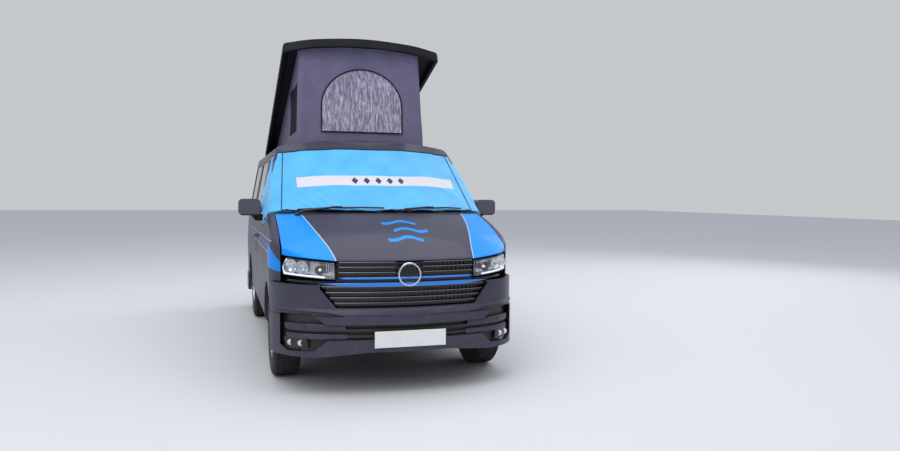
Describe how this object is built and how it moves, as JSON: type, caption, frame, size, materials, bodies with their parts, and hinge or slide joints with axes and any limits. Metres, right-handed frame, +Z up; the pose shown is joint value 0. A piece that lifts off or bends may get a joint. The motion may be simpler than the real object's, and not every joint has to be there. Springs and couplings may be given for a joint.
{
  "type": "camper van",
  "caption": "Compact camper van with a raised, rear-hinged lifting roof, canvas sides and a fabric cover over the windscreen.",
  "frame": {"origin": "on the ground under the middle of the van's length and width", "axes": "+Z up, +Y towards the rear, +X towards the sliding-door side, so the front faces -Y"},
  "size_m": [2.298, 4.9038, 2.8859],
  "materials": {
    "paint_grey": "metallic",
    "black_plastic": "matte",
    "black_gloss": "gloss",
    "clear_glass": "polished",
    "dark_glass": "polished",
    "lamp_clear": "polished",
    "lamp_red": "gloss",
    "plate_white": "gloss",
    "tyre": "matte",
    "alloy": "satin",
    "underseal": "matte",
    "cast_metal": "rough",
    "exhaust_steel": "satin",
    "dark_metal": "satin",
    "dark_trim": "grained",
    "wheel_leather": "satin",
    "seat_cloth": "woven",
    "furniture_grey": "satin",
    "lid_black": "gloss",
    "tent_canvas": "woven",
    "mirror_cap": "metallic",
    "rail_alloy": "anodised",
    "cover_blue": "woven"
  },
  "bodies": {
    "body": {"scuttle": "black_plastic", "roof_panel": "paint_grey", "body_side_left": "paint_grey", "body_side_right": "paint_grey", "sliding_door": "paint_grey", "front_wing_left": "paint_grey", "front_wing_right": "paint_grey", "windscreen": "clear_glass", "sliding_door_glass": "dark_glass", "side_glass": "dark_glass", "headlamps": "lamp_clear", "front_bumper": "paint_grey", "lower_intake": "black_plastic", "fog_lamps": "lamp_clear", "grille": "black_gloss", "plate_base": "plate_white", "rear_bumper": "paint_grey", "tail_lamps": "lamp_red", "underbody": "underseal", "wheel_liners": "black_plastic", "engine_block": "cast_metal", "exhaust": "exhaust_steel", "front_suspension": "dark_metal", "rear_suspension": "dark_metal", "dashboard": "dark_trim", "steering_wheel": "wheel_leather", "front_seat_left": "seat_cloth", "front_seat_right": "seat_cloth", "rear_bench": "seat_cloth", "kitchen_unit": "furniture_grey", "roof_tent": "tent_canvas", "awning_rail": "rail_alloy", "windscreen_cover": "cover_blue", "wipers": "black_plastic"},
    "bonnet_lid": {"bonnet": "paint_grey"},
    "door_left": {"front_door_left": "paint_grey", "front_door_glass_left": "clear_glass", "mirror_left": "mirror_cap", "cover_flap_left": "cover_blue"},
    "door_right": {"front_door_right": "paint_grey", "front_door_glass_right": "clear_glass", "mirror_right": "mirror_cap", "cover_flap_right": "cover_blue"},
    "rear_lid": {"tailgate": "paint_grey", "tailgate_glass": "dark_glass"},
    "lifting_lid": {"pop_top": "lid_black"},
    "knuckle_left": {"hub_carrier_left": "cast_metal"},
    "knuckle_right": {"hub_carrier_right": "cast_metal"},
    "wheel_front_left": {"tyre_front_left": "tyre", "rim_front_left": "alloy"},
    "wheel_front_right": {"tyre_front_right": "tyre", "rim_front_right": "alloy"},
    "wheel_rear_left": {"tyre_rear_left": "tyre", "rim_rear_left": "alloy"},
    "wheel_rear_right": {"tyre_rear_right": "tyre", "rim_rear_right": "alloy"}
  },
  "joints": [
    {"name": "door_left_swing", "type": "hinge", "parent": "body", "child": "door_left", "pos_m": [0.948, -1.193, 0.9], "axis": [0, 0, -1], "range_deg": [0, 68]},
    {"name": "door_right_swing", "type": "hinge", "parent": "body", "child": "door_right", "pos_m": [-0.948, -1.193, 0.9], "axis": [0, 0, 1], "range_deg": [0, 68]},
    {"name": "bonnet_lift", "type": "hinge", "parent": "body", "child": "bonnet_lid", "pos_m": [0, -1.371, 1.275], "axis": [-1, 0, 0], "range_deg": [0, 50]},
    {"name": "tailgate_lift", "type": "hinge", "parent": "body", "child": "rear_lid", "pos_m": [0, 2.337, 1.866], "axis": [1, 0, 0], "range_deg": [0, 85]},
    {"name": "pop_top_close", "type": "hinge", "parent": "body", "child": "lifting_lid", "pos_m": [0, 2.121, 1.946], "axis": [1, 0, 0], "range_deg": [0, 17.5], "deforming": ["roof_tent"]},
    {"name": "steer_left", "type": "hinge", "parent": "body", "child": "knuckle_left", "pos_m": [0.72, -1.543, 0.345], "axis": [0, 0, 1], "range_deg": [-35, 35]},
    {"name": "steer_right", "type": "hinge", "parent": "body", "child": "knuckle_right", "pos_m": [-0.72, -1.543, 0.345], "axis": [0, 0, 1], "range_deg": [-35, 35]},
    {"name": "spin_front_left", "type": "hinge", "parent": "knuckle_left", "child": "wheel_front_left", "pos_m": [0.814, -1.543, 0.345], "axis": [1, 0, 0], "continuous": true},
    {"name": "spin_front_right", "type": "hinge", "parent": "knuckle_right", "child": "wheel_front_right", "pos_m": [-0.814, -1.543, 0.345], "axis": [1, 0, 0], "continuous": true},
    {"name": "spin_rear_left", "type": "hinge", "parent": "body", "child": "wheel_rear_left", "pos_m": [0.814, 1.457, 0.345], "axis": [1, 0, 0], "continuous": true},
    {"name": "spin_rear_right", "type": "hinge", "parent": "body", "child": "wheel_rear_right", "pos_m": [-0.814, 1.457, 0.345], "axis": [1, 0, 0], "continuous": true}
  ],
  "couplings": [
    {"joint": "steer_right", "follows": "steer_left", "ratio": 1}
  ]
}
